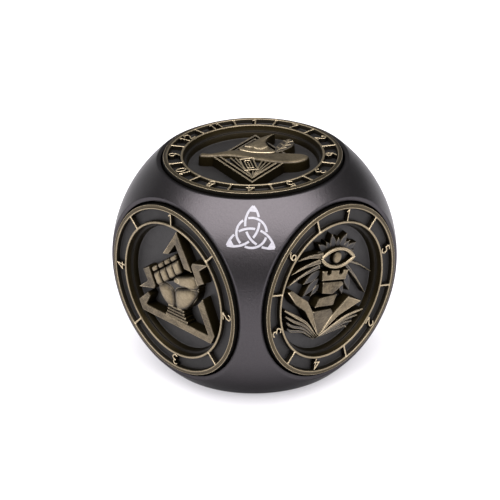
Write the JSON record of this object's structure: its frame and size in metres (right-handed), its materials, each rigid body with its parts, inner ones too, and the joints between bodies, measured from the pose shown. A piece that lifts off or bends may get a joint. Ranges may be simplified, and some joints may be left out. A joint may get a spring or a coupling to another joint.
{
  "type": "spinner die",
  "caption": "Ball-shaped metal spinner die: flat-sided round body with numbered relief dials that spin on ball bearings.",
  "frame": {"origin": "centre of the body, where the axes of all the dials cross", "axes": "+Z out of the twelve-sector dial that faces up, -Y out of the four-sector dial, +X out of the six-sector dial; it stands on the -Z dial"},
  "size_m": [0.04, 0.04, 0.04],
  "materials": {
    "anodised_body": "bead-blasted, dark grey anodised, satin",
    "antique_bronze": "die-cast relief, antique bronze, brushed on top and blackened in the recesses",
    "bearing_steel": "ground and polished bearing steel",
    "cage_steel": "pressed steel strip with polished balls",
    "hub_steel": "black-oxide steel screw and washer",
    "pointer_print": "white pad-printed ink"
  },
  "bodies": {
    "root": {"shell": "anodised_body", "d4_bearing_outer_ring": "bearing_steel", "d6_bearing_outer_ring": "bearing_steel", "d8_bearing_outer_ring": "bearing_steel", "d10_bearing_outer_ring": "bearing_steel", "d12_bearing_outer_ring": "bearing_steel", "d20_bearing_outer_ring": "bearing_steel"},
    "d4_rotor": {"d4_dial": "antique_bronze", "d4_bearing_inner_ring": "bearing_steel", "d4_hub_washer": "hub_steel", "d4_hub_screw": "hub_steel"},
    "d4_cage": {"d4_ball_cage": "cage_steel"},
    "d6_rotor": {"d6_dial": "antique_bronze", "d6_bearing_inner_ring": "bearing_steel", "d6_hub_washer": "hub_steel", "d6_hub_screw": "hub_steel"},
    "d6_cage": {"d6_ball_cage": "cage_steel"},
    "d8_rotor": {"d8_dial": "antique_bronze", "d8_bearing_inner_ring": "bearing_steel", "d8_hub_washer": "hub_steel", "d8_hub_screw": "hub_steel"},
    "d8_cage": {"d8_ball_cage": "cage_steel"},
    "d10_rotor": {"d10_dial": "antique_bronze", "d10_bearing_inner_ring": "bearing_steel", "d10_hub_washer": "hub_steel", "d10_hub_screw": "hub_steel"},
    "d10_cage": {"d10_ball_cage": "cage_steel"},
    "d12_rotor": {"d12_dial": "antique_bronze", "d12_bearing_inner_ring": "bearing_steel", "d12_hub_washer": "hub_steel", "d12_hub_screw": "hub_steel"},
    "d12_cage": {"d12_ball_cage": "cage_steel"},
    "d20_rotor": {"d20_dial": "antique_bronze", "d20_bearing_inner_ring": "bearing_steel", "d20_hub_washer": "hub_steel", "d20_hub_screw": "hub_steel"},
    "d20_cage": {"d20_ball_cage": "cage_steel"}
  },
  "joints": [
    {"name": "d4_spin", "type": "hinge", "parent": "root", "child": "d4_rotor", "pos_m": [0, 0, 0], "axis": [0, -1, 0], "continuous": true},
    {"name": "d4_cage_spin", "type": "hinge", "parent": "root", "child": "d4_cage", "pos_m": [0, 0, 0], "axis": [0, -1, 0], "continuous": true},
    {"name": "d6_spin", "type": "hinge", "parent": "root", "child": "d6_rotor", "pos_m": [0, 0, 0], "axis": [1, 0, 0], "continuous": true},
    {"name": "d6_cage_spin", "type": "hinge", "parent": "root", "child": "d6_cage", "pos_m": [0, 0, 0], "axis": [1, 0, 0], "continuous": true},
    {"name": "d8_spin", "type": "hinge", "parent": "root", "child": "d8_rotor", "pos_m": [0, 0, 0], "axis": [0, 1, 0], "continuous": true},
    {"name": "d8_cage_spin", "type": "hinge", "parent": "root", "child": "d8_cage", "pos_m": [0, 0, 0], "axis": [0, 1, 0], "continuous": true},
    {"name": "d10_spin", "type": "hinge", "parent": "root", "child": "d10_rotor", "pos_m": [0, 0, 0], "axis": [-1, 0, 0], "continuous": true},
    {"name": "d10_cage_spin", "type": "hinge", "parent": "root", "child": "d10_cage", "pos_m": [0, 0, 0], "axis": [-1, 0, 0], "continuous": true},
    {"name": "d12_spin", "type": "hinge", "parent": "root", "child": "d12_rotor", "pos_m": [0, 0, 0], "axis": [0, 0, 1], "continuous": true},
    {"name": "d12_cage_spin", "type": "hinge", "parent": "root", "child": "d12_cage", "pos_m": [0, 0, 0], "axis": [0, 0, 1], "continuous": true},
    {"name": "d20_spin", "type": "hinge", "parent": "root", "child": "d20_rotor", "pos_m": [0, 0, 0], "axis": [0, 0, -1], "continuous": true},
    {"name": "d20_cage_spin", "type": "hinge", "parent": "root", "child": "d20_cage", "pos_m": [0, 0, 0], "axis": [0, 0, -1], "continuous": true}
  ],
  "couplings": [
    {"joint": "d4_cage_spin", "follows": "d4_spin", "ratio": 0.41667},
    {"joint": "d6_cage_spin", "follows": "d6_spin", "ratio": 0.41667},
    {"joint": "d8_cage_spin", "follows": "d8_spin", "ratio": 0.41667},
    {"joint": "d10_cage_spin", "follows": "d10_spin", "ratio": 0.41667},
    {"joint": "d12_cage_spin", "follows": "d12_spin", "ratio": 0.41667},
    {"joint": "d20_cage_spin", "follows": "d20_spin", "ratio": 0.41667}
  ]
}
